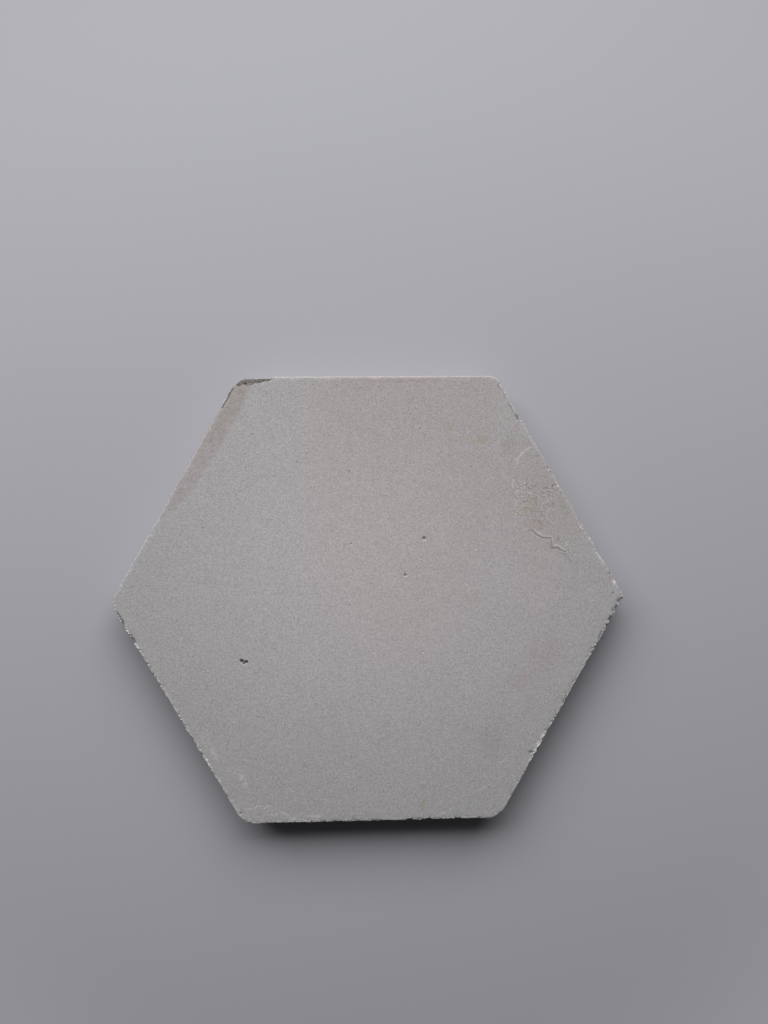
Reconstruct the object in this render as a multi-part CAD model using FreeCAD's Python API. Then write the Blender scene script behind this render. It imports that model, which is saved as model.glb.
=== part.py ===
import FreeCAD, Part
import math
import os

# A hexagonal floor tile of pressed cement, one solid lying on its back.
# The origin is the middle of the back, +Z is up through the wear face,
# +X points at the east corner and +Y at the middle of the north side.
# Sizes are in millimetres and angles in degrees.

# The plain tile, with a back a little smaller than its wear face
across_flats = 200.0
thickness = 16.0
side_draft = 1.5
arris_radius = 0.9
back_bevel = 0.8

# How round each corner is worn, seen from above
east_radius = 1.5
north_east_radius = 6.0
north_west_radius = 8.0
west_radius = 8.5
south_west_radius = 8.5
south_east_radius = 9.5

# The broken north west corner. Each point is measured from the sharp corner:
# how far east along the north side, then how far south into the tile.
# The edge is where the break leaves the wear face. The foot is the line it
# makes for at its full depth, just outside the walls, so it runs out through
# them a little higher up. The belly is the bulge between the two.
break_depth = 5.5
belly_depth = 3.2
belly_share = 0.72
break_overrun = 4.0
break_edge = [
    (-2.2, 2.9),
    (0.0, 4.4),
    (1.4, 4.3),
    (2.4, 3.5),
    (3.6, 3.6),
    (4.6, 4.5),
    (5.7, 3.6),
    (8.6, 2.8),
    (13.5, 2.1),
    (14.9, 1.6),
    (15.6, -0.4),
]
break_foot = [
    (-4.0, 1.5),
    (-3.0, 1.6),
    (-2.0, 0.2),
    (-0.4, -0.8),
    (1.6, -1.2),
    (3.6, -0.8),
    (5.6, -0.4),
    (8.6, -0.4),
    (13.4, -0.4),
    (14.9, -0.4),
    (15.6, -0.4),
]

# Chips out of the worn top edge, each a scoop that comes in from the side
# at the chip angle above level. They are given by the side, the distance
# along it from its first corner going anticlockwise, the length and the bite.
# A negative distance is measured back from the side's second corner.
chip_angle = 30.0
edge_chips = [
    ("north_east", 12.4, 1.8, 0.4),
    ("north_east", 23.7, 2.6, 0.45),
    ("north_east", 39.1, 2.8, 0.5),
    ("north_east", 58.8, 3.4, 0.5),
    ("north_east", -20.9, 2.6, 0.7),
    ("north_west", 5.2, 1.6, 0.4),
    ("north_west", 7.1, 1.8, 0.5),
    ("north_west", 9.1, 1.8, 0.5),
    ("north_west", 11.0, 1.6, 0.5),
    ("north_west", 14.7, 1.6, 0.4),
    ("north_west", 47.7, 2.2, 0.3),
    ("north_west", 72.7, 2.4, 0.35),
    ("south_west", 10.9, 2.8, 0.6),
    ("south_west", 19.5, 3.6, 0.9),
    ("south_west", 37.1, 2.6, 0.5),
    ("south_west", 50.6, 3.4, 0.6),
    ("south_west", 61.6, 2.2, 0.6),
    ("south_west", 70.4, 3.0, 0.7),
    ("south_west", -31.7, 2.4, 0.5),
    ("south_west", -21.7, 2.8, 0.5),
    ("south", 14.3, 1.8, 0.4),
    ("south", 17.8, 1.8, 0.4),
    ("south", 74.8, 3.2, 0.8),
    ("south", 82.9, 3.8, 0.8),
    ("south", 96.5, 3.6, 0.5),
    ("south_east", 28.3, 3.0, 0.6),
    ("south_east", 32.7, 2.2, 0.6),
    ("south_east", 35.9, 2.8, 0.6),
    ("south_east", 41.3, 2.6, 0.5),
    ("south_east", 45.3, 2.8, 0.5),
    ("south_east", -42.1, 2.2, 0.4),
    ("south_east", -34.4, 3.2, 0.5),
    ("south_east", -15.2, 2.2, 0.5),
    ("south_east", -12.0, 2.6, 0.6),
    ("south_east", -6.8, 3.4, 0.7),
    ("south_east", -2.6, 3.0, 0.8),
]

# Pits in the wear face from air bubbles and lost grit, given by the side,
# the distance along it, the distance in from it, the width and the depth.
surface_pits = [
    ("south_west", 52.1, 37.0, 1.9, 0.8),
    ("south_west", 53.5, 37.3, 1.4, 0.7),
    ("south_west", 53.5, 38.6, 1.6, 0.8),
    ("north_east", 68.9, 65.2, 2.2, 0.5),
    ("north_east", 59.1, 80.8, 1.3, 0.5),
    ("north", 65.9, 75.0, 0.9, 0.35),
    ("north_west", 19.2, 18.5, 0.9, 0.35),
    ("south_east", 49.0, 67.6, 0.8, 0.3),
    ("south_west", -4.8, 1.8, 1.1, 0.5),
]

# Sides and corners are numbered anticlockwise. Corner 0 is the east one,
# and each side has the number of its first corner.
side_numbers = {
    "north_east": 0,
    "north": 1,
    "north_west": 2,
    "south_west": 3,
    "south": 4,
    "south_east": 5,
}
corner_radii = [
    east_radius,
    north_east_radius,
    north_west_radius,
    west_radius,
    south_west_radius,
    south_east_radius,
]

# A regular hexagon turns by a sixth of a circle at each corner
corner_turn = 60.0
half_turn = math.radians(corner_turn / 2)
apothem = across_flats / 2
side_length = 2 * apothem * math.tan(half_turn)
back_apothem = apothem - thickness * math.tan(math.radians(side_draft))
north_west_corner = FreeCAD.Vector(-side_length / 2, apothem, 0)
up = FreeCAD.Vector(0, 0, 1)


def heading(degrees):
    """Level unit vector at an angle anticlockwise from +X."""
    angle = math.radians(degrees)
    return FreeCAD.Vector(math.cos(angle), math.sin(angle), 0)


def hexagon(flat_reach, height):
    """The six sharp corners at a height, for a distance out to the sides."""
    reach = flat_reach / math.cos(half_turn)
    return [heading(number * corner_turn) * reach + up * height for number in range(6)]


def sharp_slab():
    """The tile with sharp corners and flat walls that lean in to the back."""
    low = hexagon(back_apothem, 0)
    high = hexagon(apothem, thickness)
    rings = [low[::-1], high]
    for here in range(6):
        following = (here + 1) % 6
        rings.append([low[here], low[following], high[following], high[here]])
    faces = [Part.Face(Part.makePolygon(ring + ring[:1])) for ring in rings]
    return Part.Solid(Part.Shell(faces))


def upright_edge(slab, bearing):
    """The edge from back to face that lies furthest out along a bearing."""
    outward = heading(bearing)
    return max(slab.Edges, key=lambda edge: edge.CenterOfMass.dot(outward))


def edges_at(solid, height):
    """The edges of a solid that lie level at a height."""
    return [
        edge
        for edge in solid.Edges
        if all(abs(vertex.Z - height) < 1e-6 for vertex in edge.Vertexes)
    ]


def worn_slab():
    """The tile before it was broken, chipped and pitted."""
    slab = sharp_slab()
    for number, radius in enumerate(corner_radii):
        slab = slab.makeFillet(radius, [upright_edge(slab, number * corner_turn)])
    slab = slab.makeFillet(arris_radius, edges_at(slab, thickness))
    return slab.makeChamfer(back_bevel, edges_at(slab, 0))


def break_section(line, height):
    """Closed wire round what is lost at a height, past the tile outside."""
    first_east, first_south = line[0]
    last_east, last_south = line[-1]
    outside = [
        (last_east, last_south - break_overrun),
        (first_east - break_overrun, last_south - break_overrun),
        (first_east - break_overrun, first_south),
    ]
    points = [
        north_west_corner + FreeCAD.Vector(east, -south, height)
        for east, south in line + outside
    ]
    return Part.makePolygon(points + points[:1])


def corner_break():
    """The piece that broke off the north west corner."""
    belly = [
        (
            foot[0] + (edge[0] - foot[0]) * belly_share,
            foot[1] + (edge[1] - foot[1]) * belly_share,
        )
        for edge, foot in zip(break_edge, break_foot)
    ]
    sections = [
        break_section(break_foot, thickness - break_depth),
        break_section(belly, thickness - belly_depth),
        break_section(break_edge, thickness),
        break_section(break_edge, thickness + break_overrun),
    ]
    return Part.makeLoft(sections, True, True)


def scoop_radius(width, depth):
    """Radius of the ball that cuts a dish of this width and depth."""
    return (width * width / 4 + depth * depth) / (2 * depth)


def on_face(side, along, inset):
    """Two level directions, out of a side and along it, and a face point."""
    bearing = side_numbers[side] * corner_turn + corner_turn / 2
    outward = heading(bearing)
    forward = heading(bearing + 90)
    distance = along if along >= 0 else side_length + along
    level = outward * (apothem - inset) + forward * (distance - side_length / 2)
    return outward, forward, level + up * thickness


def edge_chip(side, along, length, bite):
    """Ball that takes one chip out of the rounded top edge."""
    radius = scoop_radius(length, bite)
    outward, forward, arris = on_face(side, along, 0)
    rise = math.radians(chip_angle)
    aim = outward * math.cos(rise) + up * math.sin(rise)
    arris_centre = arris - (outward + up) * arris_radius
    centre = arris_centre + aim * (arris_radius + radius - bite)
    return Part.makeSphere(radius, centre, forward)


def surface_pit(side, along, inset, width, depth):
    """Ball that dishes one pit into the wear face."""
    radius = scoop_radius(width, depth)
    forward, surface = on_face(side, along, inset)[1:]
    return Part.makeSphere(radius, surface + up * (radius - depth), forward)


def hexagon_tile():
    """The whole tile with its damage."""
    lost = [corner_break()]
    lost += [edge_chip(*chip) for chip in edge_chips]
    lost += [surface_pit(*pit) for pit in surface_pits]
    return worn_slab().cut(lost)


os.makedirs("parts", exist_ok=True)
hexagon_tile().exportStep("parts/hexagon_tile.step")
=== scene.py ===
import math
import random
from functools import partial, reduce

import bpy
import numpy as np
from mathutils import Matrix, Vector, noise
from mathutils.bvhtree import BVHTree
from mathutils.geometry import delaunay_2d_cdt


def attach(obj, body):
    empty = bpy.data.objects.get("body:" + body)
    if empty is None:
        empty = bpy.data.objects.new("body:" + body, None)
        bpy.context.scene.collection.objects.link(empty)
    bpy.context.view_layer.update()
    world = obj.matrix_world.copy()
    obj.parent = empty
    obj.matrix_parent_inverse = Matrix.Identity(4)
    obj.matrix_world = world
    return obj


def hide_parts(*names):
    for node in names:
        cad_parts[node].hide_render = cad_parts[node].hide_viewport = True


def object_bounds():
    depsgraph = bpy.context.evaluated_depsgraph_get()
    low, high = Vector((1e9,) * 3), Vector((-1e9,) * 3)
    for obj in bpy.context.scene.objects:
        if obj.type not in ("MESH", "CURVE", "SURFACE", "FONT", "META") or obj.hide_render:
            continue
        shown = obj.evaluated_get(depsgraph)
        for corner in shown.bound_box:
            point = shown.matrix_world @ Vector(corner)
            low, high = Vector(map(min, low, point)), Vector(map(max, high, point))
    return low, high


# The looks of a worn hexagon floor tile of pressed cement. The shape comes from
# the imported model, sampled finely enough to carry the wear of its surface.
# The surface is worked out in millimetres and written to the mesh in metres.

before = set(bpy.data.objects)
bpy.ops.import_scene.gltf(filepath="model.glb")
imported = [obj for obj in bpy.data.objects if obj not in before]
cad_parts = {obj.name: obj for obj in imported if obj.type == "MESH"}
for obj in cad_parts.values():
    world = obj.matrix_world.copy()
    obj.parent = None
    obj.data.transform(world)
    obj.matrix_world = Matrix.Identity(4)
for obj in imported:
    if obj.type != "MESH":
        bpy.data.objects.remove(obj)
cad_low, cad_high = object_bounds()

MM = 0.001
TILE = "hexagon_tile"
PIECE = "hexagon_tile_worn"
BODY = "root"
SEED = 71

# The tile's own box gives its thickness and the reach out to its flat sides
THICKNESS = cad_high.z / MM
REACH = cad_high.y / MM
SIDE_TURN = 60.0
HALF_TURN_COSINE = math.cos(math.radians(SIDE_TURN / 2))
SIDE_LENGTH = 2 * REACH * math.tan(math.radians(SIDE_TURN / 2))
# Chips and air holes stay this far from the sharp corners
CORNER_MARGIN = 5.0
HALF_SIDE = SIDE_LENGTH / 2 - CORNER_MARGIN

# The edge fan: columns of points cast out from a smaller hexagon inside the tile
FAN_INSET = 4.0
FAN_CORNER_RADIUS = 3.0
FAN_TOP_PIVOT = THICKNESS - FAN_INSET
FAN_BACK_PIVOT = 3.0
CORNER_COLUMNS = 24
SIDE_COLUMNS = 290

# The plain section that the fan aims at. Its rings crowd towards the arris.
ARRIS_RADIUS = 0.9
WALL_DRAFT = 0.026
BACK_BEVEL = 0.8
FACE_RINGS = 5
ARRIS_RINGS = 8
WALL_RINGS = 24
FACE_CROWDING = 1.6
WALL_CROWDING = 1.25
BACK_RING_STEPS = (1, 2, 4)

# Spacing of the points on the wear face and the back. Beside the fan's inner ring,
# spacing and clearance are shares of the gap between the fan's columns.
FACE_SPACING = 2.6
BACK_SPACING = 4.0
SPACING_LEVELS = 5
DETAIL_SPACING = 0.17
DETAIL_GROWTH = 0.35
FACE_RING_GROWTH = 0.35
BACK_RING_GROWTH = 0.8
RING_SPACING = 0.8
RING_CLEARANCE = 0.6
GRID_MARGIN = 1.2
REFINING_REACH = 1.5
# Rows and columns from a point of a triangular grid to its six neighbours
NEIGHBOUR_STEPS = np.array([(0, 1), (1, 0), (1, -1), (0, -1), (-1, 0), (-1, 1)])

# Fractal noise: how fast its finer lumps fade, and how much finer each is
NOISE_FADING = 0.8
NOISE_STEP = 2.0

# Wear of the arris on the six sides, anticlockwise from the north east one: depth of
# its unevenness, depth of the scallops that leave teeth, number of larger chips, and
# how pale its fresh faces are
RAGGED_DEPTH = [0.2, 0.12, 0.16, 0.3, 0.24, 0.28]
TEETH_DEPTH = [0.4, 0.2, 0.3, 0.9, 0.55, 0.8]
CHIP_COUNTS = [12, 12, 14, 26, 20, 26]
EDGE_PALENESS = [0.35, 0.15, 0.25, 0.9, 0.6, 0.6]
TEETH_SIZE = 0.95
TEETH_STRETCH = 0.35
TEETH_LEAST = 0.25
TEETH_GROUP = 7.0
TEETH_GROUP_LEVEL = 0.8
TEETH_GROUP_RANGE = (0.1, 1.5)
CHIP_LENGTH = (0.9, 2.8)
CHIP_BITE = (0.12, 0.4)
CHIP_RISE = (15.0, 65.0)

# Air holes in the walls, mostly small and at least a sixth as deep as wide
WALL_PORES = 320
PORE_WIDTH = (0.6, 2.6)
PORE_DEPTH = (0.2, 0.9)
PORE_HEIGHT = (1.5, THICKNESS - 2.5)
PORE_SMALLNESS = 3
PORE_FLATNESS = 6

# Uneven lumps of wear: size, octaves, level, strength and, where they have one, their top
RAGGED_LUMPS = (2.8, 2, 0.2, 1.2)
COARSE_LUMPS = (5.0, 4, 0.5, 0.5, 1.0)
GRIT_LUMPS = (1.6, 2, 0.4, 1.0)
BREAK_LUMPS = (1.4, 3, 0.5, 1.0)

# How far the wear of the arris reaches over the face and down the wall, and how
# coarse the surface is by height
ARRIS_REACH = 1.1
WALL_REACH = 2.4
COARSE_HEIGHTS = [0.0, 1.0, 10.0, 13.0, 15.2, 16.0]
COARSE_DEPTHS = [0.36, 0.32, 0.28, 0.16, 0.1, 0.02]
WALL_GRIT = 0.5
SHARP_ANGLE = 38.0

# Upward share of the normal on the edge and walls, and its least on the wear face.
# Marks in the face end just below the arris.
EDGE_TILT = (-0.9, 0.999)
FACE_TILT = 0.9
MARKS_FOOT = THICKNESS - 2 * ARRIS_RADIUS

# The broken corner: where its rough faces are, and how rough they are
BREAK_MIDDLE = (-51.0, 98.5)
BREAK_REACH = 14.0
BREAK_LOST = (0.12, 0.4)
BREAK_ROUGHNESS = 0.7
BREAK_LINES = [
    [(-57.2, 96.9), (-54.8, 98.3), (-49.5, 98.7), (-44.2, 98.9)],
    [
        (-58.6, 96.7), (-56.9, 95.6), (-55.1, 96.3), (-53.2, 96.6),
        (-51.8, 97.2), (-48.7, 97.7), (-44.1, 98.1),
    ],
]

# Small pits in the wear face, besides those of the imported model: x, y and width
SMALL_PITS = [
    (11.4, 10.2, 0.8), (-73.9, 32.8, 0.8), (-62.4, 29.9, 0.8), (1.7, -23.6, 0.8),
    (18.4, -32.9, 0.7), (29, 80.5, 0.7), (20, 43.1, 0.6), (0.7, 6.9, 0.6),
    (-8.9, 0.3, 0.6), (-21.9, -6.5, 0.6), (-57.9, -26.4, 0.9), (-56.4, -27, 1.5),
    (-55.9, -27.6, 1.1),
]

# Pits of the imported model, where the mesh has to be fine: x, y and width
MODEL_PITS = [
    (-57.35, -26.6, 1.9), (-56.5, -27.8, 1.4), (-55.3, -27.1, 1.6), (24.6, 27.1, 2.2),
    (15.9, 10.8, 1.3), (-8.2, 25, 0.9), (-51.3, 74.1, 0.9), (23.7, -23.8, 0.8),
    (-58.8, -95.1, 1.1),
]
PIT_SHARE = 0.4

# Holes by the rim, where grit broke out, painted dark as painted shade: x, y and width
RIM_HOLES = [
    (109.8, 1.5, 0.9), (108.6, 10.5, 1.4), (-104.8, -17.3, 1.3), (-105.8, -15.9, 1),
    (-109.6, -9.4, 1), (-96.5, -31.4, 0.9), (-84.6, -53.3, 0.9), (75.2, 66.2, 0.7),
    (76.2, 63.7, 0.7), (82.9, 50.2, 1.1), (84.5, 50.5, 0.9), (80.2, 49.1, 0.8),
    (86.3, 47, 0.9), (96, 31.2, 0.8), (100.2, 23.6, 0.8), (18, -98.8, 0.8),
    (26.1, -98.8, 1), (37.4, -98.9, 0.9), (39.8, -98.9, 0.9), (-43.5, -98, 0.7),
    (-39.9, -98.1, 0.7),
]
HOLE_SHARE = 0.3

# How dark the painted shade in the holes is, 0 to 1, and how steeply that falls to their rims
HOLE_DARKNESS = 0.8
HOLE_SHADE_SLOPE = 1.4

# Deep nicks along the arris, painted dark partly as painted shade in their bites and partly as dirt
NICK_WIDTH = 0.42
NICK_DEPTH = 0.3
NICKS = [
    [(113.9, -0.6), (112, -2.2)], [(111.6, -4.4), (109.8, -6.6)],
    [(109.2, -9), (108, -10.6)], [(104.8, -16.2), (103.6, -19.2)],
    [(71.3, -69.9), (73.3, -70.1)], [(-112.2, -3.9), (-110.7, -6.3), (-109.1, -9.2)],
    [(-106.3, -14.2), (-104.9, -16.2), (-103.9, -18)],
    [(-59.9, 94.2), (-60.9, 92.8), (-61.7, 91.3), (-62.6, 89.5), (-64.6, 86.2)],
    [(66.2, 82.2), (67.3, 80.4)],
]

# Fine dark lines in the wear face: two cracks under a thin film of cement by the north
# east side, then fainter ones at their ends, by two corners and where the film flakes.
# The cracks are painted dark as a painted shadow under the film's raised edge.
CRACK_WIDTH = 0.2
LINE_WIDTH = 0.18
CRACKS = [
    [(71.4, 30.2), (73.7, 30.3), (75.1, 28.4), (76.9, 27.5), (78.2, 26.8), (81.9, 26.7)],
    [(81.8, 22.7), (83, 22), (84.3, 22.5), (85.5, 21.9), (87.7, 20.6), (88.6, 20.5)],
]
FAINT_LINES = [
    [(85.9, 19.9), (87.7, 19.4), (89.1, 18.1), (90.4, 16.7), (91.1, 15.3)],
    [(81.9, 26.7), (82.1, 24.4), (81.8, 22.7)], [(84.6, 26.6), (85.1, 25.5), (86.9, 24.8)],
    [(57.9, 96.1), (60.6, 92.5), (62.8, 88.4), (64.1, 85.7), (65.5, 83)],
    [(-113.2, 5), (-111.6, 2.3)], [(78.2, 49.2), (79.8, 49.3), (81.4, 48.9)],
    [(77.4, 46.8), (79, 47.1)], [(80.5, 47.6), (82.1, 47.1)],
    [(81.1, 46.1), (82.4, 45.5), (84, 45.4)], [(71.6, 46.1), (74.2, 45.9)],
    [(67.4, 48.8), (68.3, 50), (70.4, 50.8), (71.6, 51.3)], [(71.6, 49.9), (72.3, 48.8)],
    [(72.8, 50.1), (75.2, 50.2)], [(68.2, 44.4), (69.6, 42.9), (71, 43.7)],
    [(75.5, 45.4), (74.9, 43.4), (75.8, 42.6)], [(76.8, 38.6), (78.7, 38.5)],
    [(76.5, 37.4), (78, 37.5)], [(76.8, 36.2), (78.5, 36.2)],
    [(75.6, 34.4), (77.3, 34.5)], [(77, 30.9), (78.3, 30.8)],
    [(81.6, 43.4), (83.3, 41.9)], [(80.8, 41.1), (82.4, 40.9)],
    [(79.1, 41.9), (79.4, 41.4)], [(65.6, 45.3), (67, 44.8)],
    [(70, 40.2), (71.9, 40.4)], [(82.6, 48.7), (84.2, 48.6), (85.8, 48.4)],
    [(79.6, 34), (80.6, 33.3), (81.4, 32.8)], [(85.3, 26.9), (86, 25.2), (87.3, 24.4)],
    [(70.6, 53.6), (72, 52.7)],
]

# Raised lines, which catch the light and are painted pale on top as a painted highlight: the film's
# edges and a few scuffs
RIDGE_WIDTH = 0.28
RIDGES = [
    [(67.2, 60.6), (66.5, 62.4), (67.9, 63.5), (69, 65.1), (70.8, 66.4), (72.6, 67.5)],
    [(65.3, 53), (64.6, 51.7), (64.8, 49.6)],
    [(74.2, 30.7), (76.9, 28.6), (79.1, 27.7), (81.9, 27.4), (82.6, 25.8)],
    [(83.2, 23.6), (85.2, 23.5), (86.6, 22.3), (88, 21.5)], [(72, 46.8), (74.6, 46.7)],
    [(-56.3, -93.1), (-52.8, -92.7), (-51.6, -91.9), (-49.2, -91.7)],
    [(-48.3, -93.1), (-46.5, -91.5), (-45.2, -92.2)], [(-45.2, -95.6), (-42.6, -95.7)],
    [(-106.4, -13.6), (-103.7, -18.6)], [(-41.2, -94.4), (-37.2, -96.3)],
    [(-34.6, -97.2), (-30.5, -97.3)], [(-29.2, -97.1), (-26.1, -97), (-23.8, -97)],
    [(30.6, -97.5), (32, -96.8), (33.8, -97.5)],
]

# Relief of the wear face: its lines, their width and how deep they are
RELIEF_LINES = [
    (RIDGES, 1.4, 0.022),
    (RIDGES, RIDGE_WIDTH, -0.022),
    (CRACKS, CRACK_WIDTH, 0.07),
    (FAINT_LINES, LINE_WIDTH, 0.035),
]
# Dark lines, their width and how dark they are, 0 to 1
DARK_LINES = [
    # The nicks' dark is partly painted shade and partly dirt
    (NICKS, NICK_WIDTH, 0.85),
    # Along the cracks the dark paint is a painted shadow under the film's raised edge
    (CRACKS, CRACK_WIDTH, 0.65),
    (FAINT_LINES, LINE_WIDTH, 0.5),
]

# The film stands proud of its surroundings, which are sunk along its two edges
# by the step. The step heals with distance, and fades out towards each edge's ends.
FILM_STEP = 0.06
FILM_HEALING = 6.0
FILM_ENDS = 0.125
FILM_UPPER_EDGE = [(75.5, 66.6), (72.6, 67.5), (70.8, 66.4), (67.9, 63.5), (65.3, 58.6), (64.8, 52.0)]
FILM_LOWER_EDGE = CRACKS[0] + CRACKS[1] + [(91.1, 15.3)]


def heading(degrees):
    """Level unit vector at an angle anticlockwise from +X."""
    angle = math.radians(degrees)
    return np.array([math.cos(angle), math.sin(angle)])


def hexagon_corners(inset):
    """The six corners of a hexagon that lies this far inside the tile's sides."""
    corner_reach = (REACH - inset) / HALF_TURN_COSINE
    return [heading(corner * SIDE_TURN) * corner_reach for corner in range(6)]


def inset_of(places):
    """How far each level place lies in from the nearest side."""
    side_reach = [places @ heading((side + 0.5) * SIDE_TURN) for side in range(6)]
    return REACH - np.max(side_reach, axis=0)


def line_distance(places, line):
    """Distance to a line of points, the signed side of it, and how far along, 0 to 1."""
    line = np.array(line, float)
    lengths = np.linalg.norm(np.diff(line, axis=0), axis=1)
    passed = np.concatenate([[0], np.cumsum(lengths)])
    best = np.full(len(places), np.inf)
    side = np.zeros(len(places))
    along = np.zeros(len(places))
    for start, end, length, before in zip(line, line[1:], lengths, passed):
        step = (end - start) / length
        offset = places - start
        travel = np.clip(offset @ step, 0, length)
        gap = np.linalg.norm(offset - travel[:, None] * step, axis=1)
        nearer = gap < best
        best[nearer] = gap[nearer]
        side[nearer] = np.sign(step[0] * offset[:, 1] - step[1] * offset[:, 0])[nearer]
        along[nearer] = ((before + travel) / passed[-1])[nearer]
    return best, side, along


def packed_surface():
    """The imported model's surface in millimetres, ready for casting rays at."""
    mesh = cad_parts[TILE].data
    corners = [vertex.co / MM for vertex in mesh.vertices]
    faces = [polygon.vertices[:] for polygon in mesh.polygons]
    return BVHTree.FromPolygons(corners, faces)


def cast(surface, origins, directions):
    """Where rays meet the surface, and how far they went."""
    hits = [
        surface.ray_cast(Vector(origin), Vector(direction))
        for origin, direction in zip(origins, directions)
    ]
    return np.array([hit[0] for hit in hits]), np.array([hit[3] for hit in hits])


def fan_columns():
    """Start and outward direction of each column, in six like sectors."""
    centres = hexagon_corners(FAN_INSET + FAN_CORNER_RADIUS)
    starts = []
    outward = []
    for corner in range(6):
        centre = centres[corner]
        middle = corner * SIDE_TURN
        for turn in np.linspace(-SIDE_TURN / 2, SIDE_TURN / 2, CORNER_COLUMNS, endpoint=False):
            outward.append(heading(middle + turn))
            starts.append(centre + outward[-1] * FAN_CORNER_RADIUS)
        side_way = heading(middle + SIDE_TURN / 2)
        side_start = centre + side_way * FAN_CORNER_RADIUS
        side_end = centres[(corner + 1) % 6] + side_way * FAN_CORNER_RADIUS
        for share in np.linspace(0, 1, SIDE_COLUMNS, endpoint=False):
            outward.append(side_way)
            starts.append(side_start + (side_end - side_start) * share)
    return np.array(starts), np.array(outward)


def plain_section():
    """The tile's plain section as (inset, height), from its face round to its back."""
    crowded = np.linspace(1, 0, FACE_RINGS, endpoint=False) ** FACE_CROWDING
    section = [(ARRIS_RADIUS + (FAN_INSET - ARRIS_RADIUS) * share, THICKNESS) for share in crowded]
    arris_height = THICKNESS - ARRIS_RADIUS
    for angle in np.linspace(math.pi / 2, 0, ARRIS_RINGS, endpoint=False):
        inset = ARRIS_RADIUS * (1 - math.cos(angle))
        section.append((inset, arris_height + ARRIS_RADIUS * math.sin(angle)))
    for share in np.linspace(0, 1, WALL_RINGS) ** WALL_CROWDING:
        height = arris_height + (BACK_BEVEL - arris_height) * share
        section.append(((THICKNESS - height) * WALL_DRAFT, height))
    foot_inset = THICKNESS * WALL_DRAFT
    section.append((foot_inset + BACK_BEVEL / 2, BACK_BEVEL / 2))
    section += [(foot_inset + BACK_BEVEL * step, 0.0) for step in BACK_RING_STEPS]
    section.append((FAN_INSET, 0.0))
    return np.array(section)


def cast_fan(surface):
    """Points over the arris and down the walls, and the depth lost from each."""
    starts, outward = fan_columns()
    section = plain_section()
    shape = (len(section), len(starts), 3)
    origins = np.empty(shape)
    directions = np.empty(shape)
    for ring, (inset, height) in enumerate(section):
        pivot = np.clip(height, FAN_BACK_PIVOT, FAN_TOP_PIVOT)
        origins[ring, :, :2] = starts
        origins[ring, :, 2] = pivot
        directions[ring, :, :2] = outward * (FAN_INSET - inset)
        directions[ring, :, 2] = height - pivot
    points, distances = cast(surface, origins.reshape(-1, 3), directions.reshape(-1, 3))
    sectors = distances.reshape(len(section), 6, -1)
    usual = np.median(sectors, axis=1, keepdims=True)
    lost = np.clip(usual - sectors, 0, None)
    return points.reshape(shape), lost.reshape(shape[:2])


def graded_grid(spacing, wanted):
    """Triangular grid points, refined level by level where closer ones are wanted."""
    step = 2 ** (SPACING_LEVELS - 1)
    fine = spacing / step

    def place(cells):
        row, column = cells.T
        return np.column_stack([(column + row / 2) * fine, row * fine * math.sqrt(0.75)])

    count = int(GRID_MARGIN * REACH / HALF_TURN_COSINE / spacing) + 2
    cells = np.stack(np.mgrid[-count : count + 1, -count : count + 1], axis=-1).reshape(-1, 2) * step
    cells = cells[inset_of(place(cells)) > 0]
    active = cells
    while step > 1:
        step //= 2
        gap = wanted(place(active))
        active = active[gap <= REFINING_REACH * step * fine]
        halfway = (active[:, None] + NEIGHBOUR_STEPS * step).reshape(-1, 2)
        halfway = np.unique(halfway, axis=0)
        halfway = halfway[np.any(halfway % (2 * step) != 0, axis=1)]
        halfway = halfway[wanted(place(halfway)) <= step * fine]
        cells = np.concatenate([cells, halfway])
        active = np.concatenate([active, halfway])
    return place(cells)


def detail_gap(places):
    """Distance from each place to the nearest detail that needs a fine mesh."""
    gap = np.full(len(places), np.inf)
    for x, y, width in MODEL_PITS + SMALL_PITS + RIM_HOLES:
        gap = np.minimum(gap, np.linalg.norm(places - (x, y), axis=1) - width / 2)
    for line in CRACKS + FAINT_LINES + RIDGES + NICKS + [FILM_UPPER_EDGE]:
        gap = np.minimum(gap, line_distance(places, line)[0] - LINE_WIDTH)
    return np.clip(gap, 0, None)


def cap_places(spacing, ring_growth, with_detail):
    """Level places inside the fan's inner ring, closer together near its edge and details."""
    core_inset = FAN_INSET + FAN_CORNER_RADIUS
    core = hexagon_corners(core_inset)
    column_spacing = SIDE_LENGTH / SIDE_COLUMNS

    def ring_distance(places):
        inset = inset_of(places)
        core_gap = line_distance(places, core + core[:1])[0]
        return np.where(inset > core_inset, inset - FAN_INSET, FAN_CORNER_RADIUS - core_gap)

    def wanted(places):
        spacings = column_spacing * RING_SPACING + ring_growth * np.abs(ring_distance(places))
        if with_detail:
            spacings = np.minimum(spacings, DETAIL_SPACING + DETAIL_GROWTH * detail_gap(places))
        return spacings

    places = graded_grid(spacing, wanted)
    return places[ring_distance(places) > column_spacing * RING_CLEARANCE]


def fill_ring(ring_places, inner_places):
    """Triangles between a ring of places and the places inside it."""
    places = [Vector(place) for place in np.concatenate([ring_places, inner_places])]
    count = len(ring_places)
    edges = [(index, (index + 1) % count) for index in range(count)]
    inside_only = 1
    tolerance = 1e-6
    made = delaunay_2d_cdt(places, edges, [], inside_only, tolerance)
    triangles, sources = made[2], made[3]
    return [[sources[index][0] for index in triangle] for triangle in triangles]


def fan_faces(rings, columns):
    """Four-sided faces between neighbouring rings."""
    here = np.arange((rings - 1) * columns).reshape(-1, columns)
    beside = np.roll(here, -1, axis=1)
    faces = np.stack([here, here + columns, beside + columns, beside], axis=-1)
    return faces.reshape(-1, 4).tolist()


def cap_faces(ring_first, ring_places, inner_first, inner_places, turned):
    """Faces of the wear face or back, numbered as in the whole mesh."""
    ring = ring_first + np.arange(len(ring_places))
    inner = inner_first + np.arange(len(inner_places))
    faces = np.concatenate([ring, inner])[fill_ring(ring_places, inner_places)]
    return (faces[:, ::-1] if turned else faces).tolist()


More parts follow.
